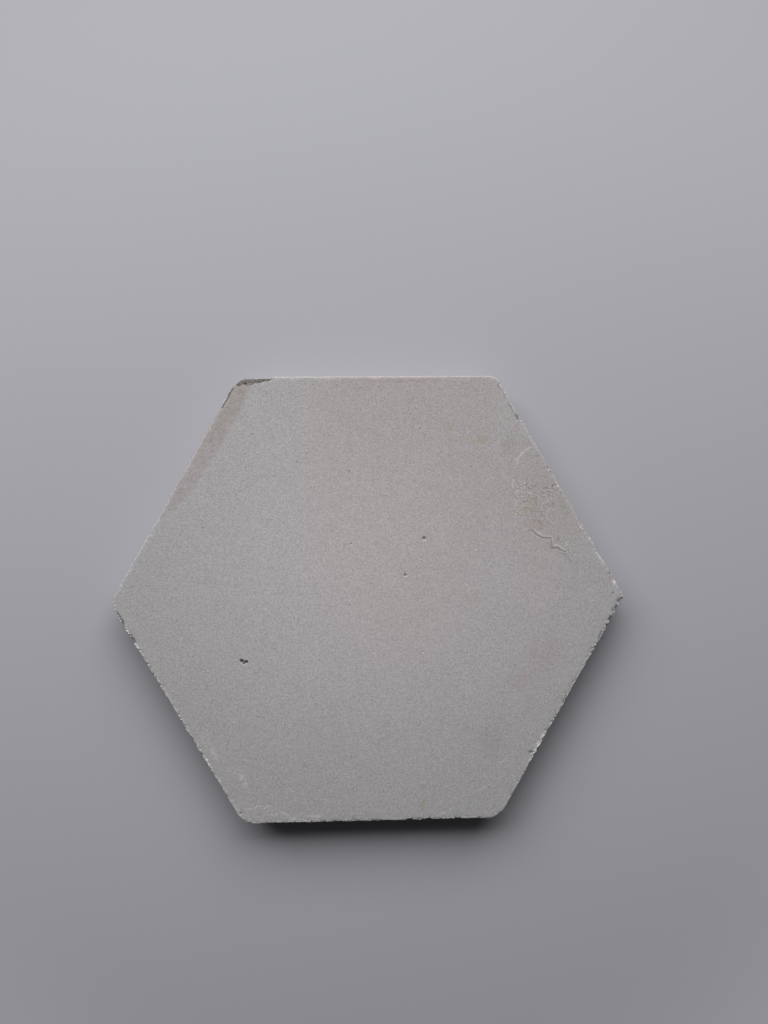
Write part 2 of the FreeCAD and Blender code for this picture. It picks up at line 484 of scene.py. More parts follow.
def arris_nearness():
    """For each ring of the fan, 1 on the arris and falling to 0 away from it."""
    inset, height = plain_section().T
    middle = ARRIS_RADIUS * (1 - math.sqrt(0.5))
    away = np.hypot(inset - middle, THICKNESS - height - middle)
    reach = np.where(height < THICKNESS - ARRIS_RADIUS, WALL_REACH, ARRIS_REACH)
    return np.exp(-((away / reach) ** 2))


def by_side(values):
    """A value for each column of the fan from one for each side, blended at the corners."""
    level = np.roll(np.repeat(values, CORNER_COLUMNS + SIDE_COLUMNS), CORNER_COLUMNS // 2)
    softening = np.ones(CORNER_COLUMNS) / CORNER_COLUMNS
    around = np.concatenate([level[-CORNER_COLUMNS:], level, level[:CORNER_COLUMNS]])
    return np.convolve(around, softening, "same")[CORNER_COLUMNS:-CORNER_COLUMNS]


def points_below(surface, places):
    """The wear face's points below level places."""
    above = np.column_stack([places, np.full(len(places), 2 * THICKNESS)])
    return cast(surface, above, np.tile([0.0, 0.0, -1.0], (len(above), 1)))[0]


def tile_faces(fan, face_places, back_places):
    """Faces that close the fan, the wear face and the back into one surface."""
    rings, columns = fan.shape[:2]
    face_first = rings * columns
    back_first = face_first + len(face_places)
    last_ring = face_first - columns
    faces = fan_faces(rings, columns)
    faces += cap_faces(0, fan[0, :, :2], face_first, face_places, False)
    faces += cap_faces(last_ring, fan[-1, :, :2], back_first, back_places, True)
    return faces


def surface_facts(fan_lost, face_lost, back_lost):
    """For each point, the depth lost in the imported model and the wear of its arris."""
    nearness = arris_nearness()
    on_caps = np.zeros(len(face_lost) + len(back_lost))

    def on_arris(values):
        return np.concatenate([np.outer(nearness, by_side(values)).ravel(), on_caps])

    return {
        "lost": np.concatenate([fan_lost.ravel(), face_lost, back_lost]),
        "arris": on_arris(np.ones(6)),
        "ragged": on_arris(RAGGED_DEPTH),
        "teeth": on_arris(TEETH_DEPTH),
        "fresh": on_arris(EDGE_PALENESS),
    }


def sampled_tile():
    """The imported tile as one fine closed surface: points, faces and facts for each point."""
    surface = packed_surface()
    fan, fan_lost = cast_fan(surface)
    face_places = cap_places(FACE_SPACING, FACE_RING_GROWTH, True)
    back_places = cap_places(BACK_SPACING, BACK_RING_GROWTH, False)
    face = points_below(surface, face_places)
    level = np.zeros(len(back_places))
    back = np.column_stack([back_places, level])
    points = np.concatenate([fan.reshape(-1, 3), face, back])
    facts = surface_facts(fan_lost, THICKNESS - face[:, 2], level)
    return points, tile_faces(fan, face_places, back_places), facts


def uneven(points, size, octaves):
    """Smooth noise from about -1 to 1, with lumps of this size in millimetres."""
    places = [Vector(place) for place in points / size]
    return np.array([noise.fractal(place, NOISE_FADING, NOISE_STEP, octaves) for place in places])


def lumps(points, size, octaves, level, strength, top=None):
    """Uneven lumps about a level, from 0 up to a top if they have one."""
    return np.clip(level + strength * uneven(points, size, octaves), 0, top)


def scoop(points, normals, centre, radius):
    """How far each point is pushed in by a ball that takes material away."""
    offset = points - centre
    facing = np.einsum("ij,ij->i", offset, normals)
    inside = radius**2 - np.einsum("ij,ij->i", offset, offset)
    reach_in = facing + np.sqrt(np.clip(facing**2 + inside, 0, None))
    return np.where(inside > 0, np.clip(reach_in, 0, None), 0)


def ball_radius(width, depth):
    """Radius of the ball that cuts a dish of this width and depth."""
    return (width * width / 4 + depth * depth) / (2 * depth)


def side_place(side, along, inset):
    """Level place on a side, from its middle, and the way out of that side."""
    way = heading((side + 0.5) * SIDE_TURN)
    across = np.array([-way[1], way[0]])
    return way * (REACH - inset) + across * along, way


def arris_ball(side, along, rise, length, bite):
    """Ball that takes a piece of this length and bite out of the rounded arris."""
    place, way = side_place(side, along, ARRIS_RADIUS)
    radius = ball_radius(length, bite)
    away = ARRIS_RADIUS + radius - bite
    level = place + way * math.cos(rise) * away
    height = THICKNESS - ARRIS_RADIUS + math.sin(rise) * away
    return np.array([*level, height]), radius


def chip_balls(dice):
    """Balls that chip the arris here and there."""
    balls = []
    for side, count in enumerate(CHIP_COUNTS):
        for _ in range(count):
            length = dice.uniform(*CHIP_LENGTH)
            bite = dice.uniform(*CHIP_BITE) * min(1, length / 2)
            rise = math.radians(dice.uniform(*CHIP_RISE))
            along = dice.uniform(-HALF_SIDE, HALF_SIDE)
            balls.append(arris_ball(side, along, rise, length, bite))
    return balls


def pore_balls(dice):
    """Balls that leave air holes in the walls."""
    balls = []
    least, most = PORE_WIDTH
    for _ in range(WALL_PORES):
        width = least + (most - least) * dice.random() ** PORE_SMALLNESS
        depth = max(dice.uniform(*PORE_DEPTH) * width / most, width / PORE_FLATNESS)
        height = dice.uniform(*PORE_HEIGHT)
        inset = (THICKNESS - height) * WALL_DRAFT
        place, way = side_place(dice.randrange(6), dice.uniform(-HALF_SIDE, HALF_SIDE), inset)
        radius = ball_radius(width, depth)
        balls.append((np.array([*(place + way * (radius - depth)), height]), radius))
    return balls


def face_balls(holes, share):
    """Balls that leave holes in the wear face, as deep as this share of their width."""
    balls = []
    for x, y, width in holes:
        radius = ball_radius(width, width * share)
        balls.append((np.array([x, y, THICKNESS + radius - width * share]), radius))
    return balls


def film_step(places):
    """How far the face is sunk beside the thin film's two edges."""
    sunk = np.zeros(len(places))
    for line in (FILM_UPPER_EDGE, FILM_LOWER_EDGE):
        gap, side, along = line_distance(places, line)
        taper = np.clip(np.minimum(along, 1 - along) / FILM_ENDS, 0, 1)
        depth = FILM_STEP * taper * np.exp(-gap / FILM_HEALING)
        sunk = np.maximum(sunk, np.where(side < 0, depth, 0))
    return sunk


def line_nearness(places, lines, width):
    """1 on the nearest of several lines, falling to 0 within about twice the width."""
    nearest = np.full(len(places), np.inf)
    for line in lines:
        nearest = np.minimum(nearest, line_distance(places, line)[0])
    return np.exp(-((nearest / width) ** 2))


def broken_share(points, lost):
    """1 on the rough faces of the broken corner, and 0 elsewhere."""
    away = np.linalg.norm(points[:, :2] - BREAK_MIDDLE, axis=1)
    return np.where(away < BREAK_REACH, np.clip((lost - BREAK_LOST[0]) / BREAK_LOST[1], 0, 1), 0)


def edge_wear(points, normals):
    """How far balls push in the points of the arris and the walls."""
    dice = random.Random(SEED)
    balls = chip_balls(dice) + pore_balls(dice)
    depth = np.zeros(len(points))
    order = np.argsort(points[:, 0])
    sorted_x = points[order, 0]
    for centre, radius in balls:
        first, last = np.searchsorted(sorted_x, (centre[0] - radius, centre[0] + radius))
        near = order[first:last]
        near = near[np.abs(points[near, 1] - centre[1]) < radius]
        depth[near] = np.maximum(depth[near], scoop(points[near], normals[near], centre, radius))
    return depth


def arris_raggedness(points, facts):
    """Depth of the arris's unevenness, and of the scallops between its teeth."""
    ragged = facts["ragged"] * lumps(points, *RAGGED_LUMPS)
    scallops = 2 * np.abs(uneven(points * (1, 1, TEETH_STRETCH), TEETH_SIZE, 2))
    grouped = np.clip(TEETH_GROUP_LEVEL + uneven(points, TEETH_GROUP, 2), *TEETH_GROUP_RANGE)
    return ragged + facts["teeth"] * grouped * np.clip(scallops - TEETH_LEAST, 0, None)


def coarseness(points, broken):
    """Depth of the surface's roughness, which is greatest low down and on the break."""
    coarse = np.interp(points[:, 2], COARSE_HEIGHTS, COARSE_DEPTHS)
    depth = coarse * lumps(points, *COARSE_LUMPS)
    depth += WALL_GRIT * coarse * lumps(points, *GRIT_LUMPS)
    return depth + BREAK_ROUGHNESS * broken * lumps(points, *BREAK_LUMPS)


def face_relief(places):
    """How far the film's step and the fine lines sink the wear face."""
    depth = film_step(places)
    for lines, width, sunk in RELIEF_LINES:
        depth += sunk * line_nearness(places, lines, width)
    return depth


def wear_depth(points, normals, facts):
    """How far each point of the surface is pushed in by wear, in millimetres."""
    depth = arris_raggedness(points, facts)
    depth += coarseness(points, broken_share(points, facts["lost"]))
    tilt = normals[:, 2]
    on_edge = (tilt > EDGE_TILT[0]) & (tilt < EDGE_TILT[1])
    depth[on_edge] = np.maximum(depth[on_edge], edge_wear(points[on_edge], normals[on_edge]))
    for centre, radius in face_balls(SMALL_PITS, PIT_SHARE) + face_balls(RIM_HOLES, HOLE_SHARE):
        depth = np.maximum(depth, scoop(points, normals, centre, radius))
    on_face = tilt > FACE_TILT
    depth[on_face] += face_relief(points[on_face, :2])
    on_top = points[:, 2] > MARKS_FOOT
    depth[on_top] += NICK_DEPTH * line_nearness(points[on_top, :2], NICKS, NICK_WIDTH)
    return depth


def round_marks(places, marks):
    """1 on the nearest of several round marks, falling to 0 at its rim."""
    strongest = np.zeros(len(places))
    for x, y, width in marks:
        away = np.linalg.norm(places - (x, y), axis=1)
        shade = np.clip(HOLE_SHADE_SLOPE * (1 - 2 * away / width), 0, 1)
        strongest = np.maximum(strongest, shade)
    return strongest


def fine_marks(points, broken):
    """How dark and how pale the fine marks make each point, 0 to 1: the dark is partly painted shade
    and shadow, the pale a painted highlight on the ridges.
    """
    places = points[:, :2]
    on_top = points[:, 2] > MARKS_FOOT
    dark = HOLE_DARKNESS * round_marks(places, RIM_HOLES)
    for lines, width, darkness in DARK_LINES:
        dark = np.maximum(dark, darkness * line_nearness(places, lines, width))
    in_break = broken * line_nearness(places, BREAK_LINES, NICK_WIDTH)
    return np.maximum(on_top * dark, in_break), on_top * line_nearness(places, RIDGES, RIDGE_WIDTH)


def point_normals(mesh):
    """The mesh's smooth normals as an array."""
    normals = np.empty(3 * len(mesh.vertices), np.float32)
    mesh.vertex_normals.foreach_get("vector", normals)
    return normals.reshape(-1, 3).astype(float)


def paint_guides(points, depth, facts):
    """The numbers that the material reads at each point."""
    broken = broken_share(points, facts["lost"])
    dark, pale = fine_marks(points, broken)
    return {
        "lost": facts["lost"] + depth,
        "arris": facts["arris"],
        "fresh": facts["fresh"],
        "broken": broken,
        "dark": dark,
        "pale": pale,
    }


def added(name, data):
    """A new object in the scene."""
    thing = bpy.data.objects.new(name, data)
    bpy.context.scene.collection.objects.link(thing)
    return thing


def worn_tile():
    """The tile's visible piece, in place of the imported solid."""
    points, faces, facts = sampled_tile()
    mesh = bpy.data.meshes.new(PIECE)
    mesh.from_pydata(points * MM, [], faces)
    mesh.update()
    normals = point_normals(mesh)
    depth = wear_depth(points, normals, facts)
    pushed = points - normals * depth[:, None]
    pushed[:, 2] = np.clip(pushed[:, 2], 0, THICKNESS)
    mesh.vertices.foreach_set("co", (pushed * MM).ravel())
    for name, values in paint_guides(points, depth, facts).items():
        attribute = mesh.attributes.new(name, "FLOAT", "POINT")
        attribute.data.foreach_set("value", values.astype(np.float32))
    mesh.update()
    mesh.shade_smooth()
    mesh.set_sharp_from_angle(angle=math.radians(SHARP_ANGLE))
    return added(PIECE, mesh)


def tone(colour):
    """Linear colour with full alpha, from a colour as it looks on a screen."""
    shares = [part / 255 for part in colour]
    return (*(((share + 0.055) / 1.055) ** 2.4 for share in shares), 1)


# Spots on the tile reach this far up and down
ANY_HEIGHT = 1e6


class Paint:
    """Nodes of a material or world, built with short calls on positions in millimetres."""

    def __init__(self, block):
        block.use_nodes = True
        self.block = block
        self.tree = block.node_tree
        place = self.node("ShaderNodeTexCoord").outputs["Object"]
        self.place = self.vector("SCALE", place, scale=1 / MM)

    def feed(self, node, inputs):
        """Sets or links inputs of a node, by their names or numbers."""
        for name, value in dict(inputs).items():
            if isinstance(value, bpy.types.NodeSocket):
                self.tree.links.new(value, node.inputs[name])
            else:
                node.inputs[name].default_value = value

    def node(self, kind, inputs=(), **settings):
        made = self.tree.nodes.new(kind)
        for name, value in settings.items():
            setattr(made, name, value)
        self.feed(made, inputs)
        return made

    def math(self, operation, *values, clamp=False):
        made = self.node("ShaderNodeMath", enumerate(values), operation=operation, use_clamp=clamp)
        return made.outputs[0]

    def product(self, *shares):
        return reduce(partial(self.math, "MULTIPLY"), shares)

    def vector(self, operation, *vectors, scale=None):
        inputs = dict(enumerate(vectors))
        if scale is not None:
            inputs["Scale"] = scale
        made = self.node("ShaderNodeVectorMath", inputs, operation=operation)
        return made.outputs["Value" if operation == "LENGTH" else "Vector"]

    def part(self, whole, name):
        """The X, Y or Z part of a vector."""
        return self.node("ShaderNodeSeparateXYZ", {0: whole}).outputs[name]

    def attribute(self, name):
        return self.node("ShaderNodeAttribute", attribute_name=name).outputs["Fac"]

    def noise(self, size, detail=2.0, roughness=0.5, output="Fac"):
        """Smooth noise with lumps of this size in millimetres."""
        inputs = {"Vector": self.place, "Scale": 1 / size, "Detail": detail, "Roughness": roughness}
        return self.node("ShaderNodeTexNoise", inputs).outputs[output]

    def ramp(self, value, low, high, low_result=0.0, high_result=1.0):
        """Smooth step of a value from one result to another."""
        inputs = enumerate((value, low, high, low_result, high_result))
        made = self.node("ShaderNodeMapRange", inputs, interpolation_type="SMOOTHSTEP")
        return made.outputs["Result"]

    def patches(self, size, detail, roughness, *steps):
        """Patches of noise, with lumps of this size in millimetres."""
        return self.ramp(self.noise(size, detail, roughness), *steps)

    def mix(self, amount, first, second):
        """Colour between two colours."""
        inputs = {"Factor": amount, "A": first, "B": second}
        return self.node("ShaderNodeMix", inputs, data_type="RGBA").outputs["Result"]

    def cover(self, colour, screen_colour, *shares):
        """A colour covered by another, as far as the product of these shares."""
        return self.mix(self.product(*shares), colour, tone(screen_colour))

    def wash(self, colour, tint, *shares):
        """A colour multiplied by a tint, as far as the product of these shares."""
        return self.mix(self.product(*shares), colour, self.vector("MULTIPLY", colour, tint))

    def spot(self, place, x, y, half_length, half_width, angle=0, softness=0.5):
        """1 in an oval spot, falling to 0 at its rim, whatever the height."""
        inputs = {
            "Vector": place,
            "Location": (x, y, 0),
            "Rotation": (0, 0, math.radians(angle)),
            "Scale": (half_length, half_width, ANY_HEIGHT),
        }
        oval = self.node("ShaderNodeMapping", inputs, vector_type="TEXTURE").outputs["Vector"]
        return self.ramp(self.vector("LENGTH", oval), 1, 1 - softness)

    def spots(self, place, ovals):
        """The strongest of several spots."""
        return reduce(partial(self.math, "MAXIMUM"), [self.spot(place, *oval) for oval in ovals])

    def wavy(self, size, amount):
        """Positions pushed about, so that spots get uneven outlines."""
        noise = self.noise(size, detail=3.0, output="Color")
        centred = self.vector("SUBTRACT", noise, (0.5, 0.5, 0.5))
        return self.vector("ADD", self.place, self.vector("SCALE", centred, scale=2 * amount))

    def show(self, output, share, first, second):
        """Sends a blend of two shaders to an output node."""
        blend = self.node("ShaderNodeMixShader", enumerate((share, first, second)))
        self.feed(self.tree.nodes[output], {"Surface": blend.outputs["Shader"]})


# Colours, as they look on a screen in plain light
# The outer and middle cement are shaded and lit copies of one colour: painted shade darkens the face
# from its middle towards its sides
OUTER_CEMENT_SHADED = (152, 150, 151)
MIDDLE_CEMENT_LIT = (166.5, 162.5, 163.8)
PALE_CEMENT = (214, 209, 206)
DARK_DIRT = (80, 75, 72)
# Painted shade in the pits and the deeper hollows of the surface
PIT_SHADE = (84, 79, 77)
BREAK_GREY = (121, 117, 113)
BREAK_BLACK = (46, 44, 42)
LINE_BLACK = (44, 41, 39)
# Pale fresh cement of the flecks, also used for the painted highlight on the ridges
FLECK_AND_HIGHLIGHT_CEMENT = (238, 233, 228)
FLOOR_PAINT = (157, 157, 163)
BACKDROP = (170, 170, 175)

# Thin dirt and stains, as the share of red, green and blue light that they leave.
# Cement haze sends back more than the plain face, and so does rosy cement of red.
WARM_TINT = (0.977, 0.938, 0.92)
PINK_TINT = (0.99, 0.9, 0.9)
GREEN_TINT = (0.87, 0.9, 0.74)
OLIVE_TINT = (0.86, 0.88, 0.77)
BROWN_TINT = (0.93, 0.86, 0.85)
RUST_TINT = (0.88, 0.7, 0.6)
GREY_TINT = (0.82, 0.81, 0.81)
WALL_TINT = (0.94, 0.92, 0.89)
HAZE_TINT = (1.07, 1.07, 1.06)
ROSY_TINT = (1.055, 1.0, 1.0)

# Ovals on the wear face: x, y, half length, half width, and then angle and softness
# where these aren't 0 and 0.5
# Painted shade: the face is paler inside this oval and darker towards its sides
LIT_MIDDLE = [(-1, 12, 117, 118, 0, 1)]
WARM_AREAS = [(16, 91, 68, 160, 0, 0.66), (78, 50, 50, 50, 0, 0.9)]
PINK_AREAS = [
    (78, -26.3, 14, 11, 60, 0.8), (69, -37.3, 8, 5, 45, 0.9),
    (45.7, -0.1, 7, 6, 0, 1), (66.3, 76.8, 4, 3, 0, 1),
    (108.4, 8.6, 5.5, 2, -62, 0.9),
]
GREEN_AREAS = [
    (50.1, 71, 7, 3.6, -10, 0.9), (36.3, 77.6, 4, 3, 0, 1),
    (23.6, -93, 3, 4.6, 0, 1), (72.4, 40.8, 4.4, 3.6, 80, 0.9),
    (74, 41.6, 3.4, 6.6, 0, 0.7), (69.6, 38.6, 3.4, 3.4, 0, 0.9),
    (87.4, 41.1, 2, 3.2, 30, 0.9),
]
RUST_AREAS = [
    (7, -55.9, 2.4, 2, 0, 1), (23.1, -84.7, 2.6, 2.4, 0, 1),
    (75.4, 33.4, 5, 3.6, -20, 0.6), (108.5, 9, 4.4, 1.2, -62, 0.9),
]
GREY_AREAS = [
    (-72.4, 8.7, 2.4, 2.2, 0, 1), (41.5, -45.1, 2.8, 2.4, 0, 1),
    (43, -58.6, 3, 2.4, 0, 1), (6.1, -67.7, 1.8, 1.6, 0, 1),
    (53, 60.6, 2.6, 2.4, 0, 1), (53, 54.3, 1.8, 1.6, 0, 1),
    (62.4, 68.8, 9, 4, 50, 1), (82.8, 22.9, 5, 4, 0, 1),
    (-87.1, -47.8, 3.5, 0.8, -60, 1), (-61.9, 93.4, 4.6, 1.3, 60, 0.9),
    (54, -64, 12, 14, 0, 1),
]
NORTH_WEST_RUN = 240
OLIVE_BAND = [(-64, 89, 24, 9, NORTH_WEST_RUN, 0.3)]
DIRT_BAND = [(-71.2, 76.6, 47, 9.6, NORTH_WEST_RUN, 0.16), (-54.2, 93.4, 3.6, 1.5, 60, 0.7)]
FILM_ROUGH_AREAS = [
    (69.6, 43.5, 13, 7, 86), (79.5, 42.5, 11, 6.5, 62),
    (87.5, 25.5, 4, 2.6, -50, 0.6),
]
SMEARS = [
    (-69.5, -68.5, 7, 1.2, -60, 1), (-58, -79.5, 8, 2.6, -60, 1),
    (56, -76, 12, 0.5, 35, 1), (50, -86, 10, 0.5, 30, 1),
    (-46.7, -94.2, 7, 0.6, 15, 1), (-34, -98, 8, 0.6, -10, 1),
    (84.3, 23.5, 1.8, 1.2, -30, 0.8),
]
NORTH_RIM_SHADE = [(16, 97.7, 48, 1.1, 0, 0.7)]
HAZE_AREAS = [(-74, -62, 13, 4.4, -60, 1)]
ROSY_AREAS = [(77, 8, 26, 34, 0, 1)]
# Where fresh cement makes pale flecks along the rim
FLECKED_RIM = [
    (75.6, -67.2, 10, 1.7, 60), (85, 50.8, 1.6, 0.9, 120, 0.8),
    (95.6, 32, 2.6, 0.8, 120, 0.8), (103.4, 18.4, 3.4, 0.9, 120, 0.8),
    (110.8, 5.8, 2.4, 0.9, 120), (-73.2, -71.6, 4, 1.1, -60),
    (-68, -80.2, 2.4, 1, -60, 0.8), (-107.8, -12.4, 2.2, 0.9, -60),
    (-103.8, -19.2, 2, 1, -60), (-63.6, 89.6, 6, 0.6, 60),
]

# Lighter and darker lumps of the cement, from broad to fine: size and contrast
MOTTLE = [(30.0, 0.05), (9.0, 0.05), (2.6, 0.08), (1.1, 0.14), (0.8, 0.42), (0.45, 0.95)]

# Specks of dark grit: spacing, radius, share of the spaces that hold one, strength
MILD_SPECKS = (1.2, 0.3, 0.35, 0.28)
DARK_SPECKS = (4.6, 0.42, 0.22, 0.8)
# A speck is at its darkest within this share of its radius
SPECK_CORE = 0.4

# Stains, lowest first: where they are, their tint and their strength
STAINS = [
    (DIRT_BAND, BROWN_TINT, 1.0),
    (OLIVE_BAND, OLIVE_TINT, 0.6),
    (PINK_AREAS, PINK_TINT, 0.8),
    (GREEN_AREAS, GREEN_TINT, 0.9),
    (NORTH_RIM_SHADE, BROWN_TINT, 0.8),
    (GREY_AREAS, GREY_TINT, 0.5),
    (HAZE_AREAS, HAZE_TINT, 1.0),
    (ROSY_AREAS, ROSY_TINT, 1.0),
]
RUST_STRENGTH = 0.8
SMEAR_STRENGTH = 0.3

# Waves that make the outlines of spots uneven: their size, and how far they push
BROAD_WAVES = (12.0, 7.0)
FINE_WAVES = (2.0, 0.9)
RIM_WAVES = (2.0, 0.5)

# Patches of noise: size, detail, roughness, the levels between which they come in,
# and their least and greatest value where these aren't 0 and 1
BLOTCHES = (2.2, 4.0, 0.5, 0.38, 0.62)
RUST_DOTS = (0.9, 2.0, 0.5, 0.46, 0.58)
FRESH_PATCHES = (1.0, 3.0, 0.6, 0.42, 0.58, 0.15, 1.0)
FLECKS = (0.9, 3.0, 0.5, 0.46, 0.56)
BREAK_DARK_PATCHES = (1.6, 4.0, 0.6, 0.42, 0.6, 0.0, 0.65)
LINE_GAPS = (0.8, 1.0, 0.5, 0.3, 0.55, 0.6, 1.0)
DULLNESS = (3.0, 2.0, 0.5, 0.3, 0.7, 0.82, 0.95)
SPECULAR = 0.25

# Curls of the film where it flakes: colour, size, width and strength
CURLS = [
    (PALE_CEMENT, 2.0, 0.03, 0.35),
    (DARK_DIRT, 1.7, 0.035, 0.32),
]

# Depths lost over which fresh cement and the painted shade of the pits come in. The broken corner is
# painted darkest along its outline, where little is lost.
FRESH_LOST = (0.0, 0.3, 0.5, 1.0)
PIT_LOST = (0.25, 0.7)
BREAK_OUTLINE = (1.1, 0.5)
FLECK_STRENGTH = 0.6
PIT_STRENGTH = 0.85
BREAK_STRENGTH = 0.9
# Strength of the painted highlight on the ridges, and of the dark lines
PALE_LINE_STRENGTH = 0.22
DARK_LINE_STRENGTH = 0.9

# Heights over which the flecks, the walls' own tint and their coarser grit come in.
# The tint's upper edge wanders up and down: size, detail and how far.
FLECK_HEIGHTS = (THICKNESS - 1.4, THICKNESS - 0.7)
WALL_TINT_HEIGHTS = (THICKNESS - 1.0, THICKNESS - 3.5)
WALL_TINT_WAVES = (4.0, 3.0)
WALL_TINT_WANDER = 3.0
GRIT_HEIGHTS = (THICKNESS - 0.1, THICKNESS - 1.5, 1.0, 3.0)

# Grit of the surface: size, detail and roughness, and how far it stands out
FINE_GRIT = (0.7, 4.0, 0.6)
FINE_GRIT_RELIEF = 0.03
COARSE_GRIT = (2.5, 2.0, 0.5)
COARSE_GRIT_RELIEF = 0.05


def mottled(paint, colour):
    """A colour with the lighter and darker lumps of cement, from broad to fine."""
    brightness = 1.0
    for size, contrast in MOTTLE:
        centred = paint.math("SUBTRACT", paint.noise(size), 0.5)
        brightness = paint.math("MULTIPLY_ADD", centred, contrast, brightness)
    return paint.vector("SCALE", colour, scale=brightness)


def grains(paint, size, radius, share, strength):
    """Scattered dots of a radius, with this share of the cells holding one."""
    inputs = {"Vector": paint.place, "Scale": 1 / size}
    cells = paint.node("ShaderNodeTexVoronoi", inputs).outputs
    away = paint.product(cells["Distance"], size)
    chosen = paint.math("LESS_THAN", paint.part(cells["Color"], "X"), share)
    return paint.product(paint.ramp(away, radius, radius * SPECK_CORE, 0, strength), chosen)


def speckled(paint, colour):
    """The colour with dark grit in it, fine and frequent or coarse and rare."""
    for specks in (MILD_SPECKS, DARK_SPECKS):
        colour = paint.cover(colour, DARK_DIRT, grains(paint, *specks))
    return colour


def curls(paint, size, width):
    """Thin curly lines, where smooth noise passes through its middle value."""
    away = paint.math("ABSOLUTE", paint.math("SUBTRACT", paint.noise(size), 0.5))
    return paint.ramp(away, 0, width, 1, 0)


def flaking(paint, colour, place):
    """The colour with the small pale and dark curls of the film where it flakes."""
    rough = paint.spots(place, FILM_ROUGH_AREAS)
    for curl_colour, size, width, strength in CURLS:
        colour = paint.cover(colour, curl_colour, rough, curls(paint, size, width), strength)
    return colour


def stained(paint, colour):
    """The colour with the stains and dirt that lie on the wear face."""
    fine = paint.wavy(*FINE_WAVES)
    blotchy = paint.patches(*BLOTCHES)
    half_blotchy = paint.math("MULTIPLY_ADD", blotchy, 0.5, 0.5)
    colour = paint.wash(colour, WARM_TINT, paint.spots(paint.wavy(*BROAD_WAVES), WARM_AREAS))
    for ovals, tint, strength in STAINS:
        colour = paint.wash(colour, tint, paint.spots(fine, ovals), half_blotchy, strength)
    rusty = paint.spots(fine, RUST_AREAS)
    colour = paint.wash(colour, RUST_TINT, rusty, paint.patches(*RUST_DOTS), RUST_STRENGTH)
    colour = flaking(paint, colour, fine)
    return paint.cover(colour, PALE_CEMENT, paint.spots(fine, SMEARS), blotchy, SMEAR_STRENGTH)


def wall_tinted(paint, colour):
    """The colour with the walls' own tint below the arris."""
    height = paint.part(paint.place, "Z")
    waves = paint.noise(*WALL_TINT_WAVES)
    ragged_height = paint.math("MULTIPLY_ADD", waves, WALL_TINT_WANDER, height)
    return paint.wash(colour, WALL_TINT, paint.ramp(ragged_height, *WALL_TINT_HEIGHTS))


def chipped(paint, colour):
    """The colour with pale fresh cement where the arris is worn away."""
    fresh = paint.product(paint.attribute("fresh"), paint.patches(*FRESH_PATCHES))
    return paint.cover(colour, PALE_CEMENT, fresh, paint.ramp(paint.attribute("lost"), *FRESH_LOST))


def flecked(paint, colour):
    """The colour with pale flecks of cement along the rim."""
    rim = paint.product(paint.spots(paint.wavy(*RIM_WAVES), FLECKED_RIM), paint.patches(*FLECKS))
    high = paint.ramp(paint.part(paint.place, "Z"), *FLECK_HEIGHTS)
    return paint.cover(colour, FLECK_AND_HIGHLIGHT_CEMENT, rim, high, FLECK_STRENGTH)


def pitted(paint, colour):
    """The colour with painted shade in the pits, pores and deeper hollows, away from the arris."""
    deep = paint.ramp(paint.attribute("lost"), *PIT_LOST)
    inland = paint.math("SUBTRACT", 1.0, paint.attribute("arris"), clamp=True)
    return paint.cover(colour, PIT_SHADE, deep, inland, PIT_STRENGTH)


def corner_broken(paint, colour):
    """The colour of the broken corner's faces: dark grey, blotched with black, and blackest along its
    outline.
    """
    outline = paint.ramp(paint.attribute("lost"), *BREAK_OUTLINE)
    darkened = paint.math("MAXIMUM", paint.patches(*BREAK_DARK_PATCHES), outline)
    amount = paint.product(paint.attribute("broken"), BREAK_STRENGTH)
    return paint.mix(amount, colour, paint.mix(darkened, tone(BREAK_GREY), tone(BREAK_BLACK)))


def lined(paint, colour):
    """The colour with fine lines, fainter in places: pale ones as painted highlights on the ridges,
    dark ones partly as painted shade and shadow.
    """
    gaps = paint.patches(*LINE_GAPS)
    colour = paint.cover(colour, FLECK_AND_HIGHLIGHT_CEMENT, paint.attribute("pale"), gaps, PALE_LINE_STRENGTH)
    return paint.cover(colour, LINE_BLACK, paint.attribute("dark"), gaps, DARK_LINE_STRENGTH)


def gritty(paint):
    """Normal of the gritty surface, which is coarser on the walls."""
    fine = paint.product(paint.noise(*FINE_GRIT), FINE_GRIT_RELIEF)
    grit = paint.math("MULTIPLY_ADD", paint.noise(*COARSE_GRIT), COARSE_GRIT_RELIEF, fine)
    relief = paint.product(grit, paint.ramp(paint.part(paint.place, "Z"), *GRIT_HEIGHTS))
    return paint.node("ShaderNodeBump", {"Height": relief, "Distance": MM}).outputs["Normal"]


def cement():
    """Pressed cement: fine mottle, sand grains, stains and wear, painted shade and highlights, and a
    gritty surface.
    """
    paint = Paint(bpy.data.materials.new("pressed_cement"))
    # Painted shade, darker from the middle of the face towards its sides
    middle = paint.spots(paint.place, LIT_MIDDLE)
    colour = paint.mix(middle, tone(OUTER_CEMENT_SHADED), tone(MIDDLE_CEMENT_LIT))
    body = (stained, wall_tinted, mottled, speckled)
    wear = (chipped, flecked, pitted, corner_broken, lined)
    for layer in body + wear:
        colour = layer(paint, colour)
    looks = {
        "Base Color": colour,
        "Roughness": paint.patches(*DULLNESS),
        "Specular IOR Level": SPECULAR,
        "Normal": gritty(paint),
    }
    paint.feed(paint.tree.nodes["Principled BSDF"], looks)
    return paint.block


# A wide plain floor, which fades into the pale backdrop between two distances
FLOOR_HALF_WIDTH = 12.0
FLOOR_FADE = (0.2, 0.45)
FLOOR_ROUGHNESS = 0.9
FLOOR_SPECULAR = 0.1

# Daylight from all round, stronger from the north, and a wide soft lamp there
DAYLIGHT = (0.02, 0.125)
DAYLIGHT_TURNS = (-0.3, 0.7)
KEY_POWER = 31.0
KEY_DISTANCE = 1.2
KEY_ELEVATION = 38.0
KEY_BEARING = 9.0
KEY_SIZE = (2.0, 0.82)

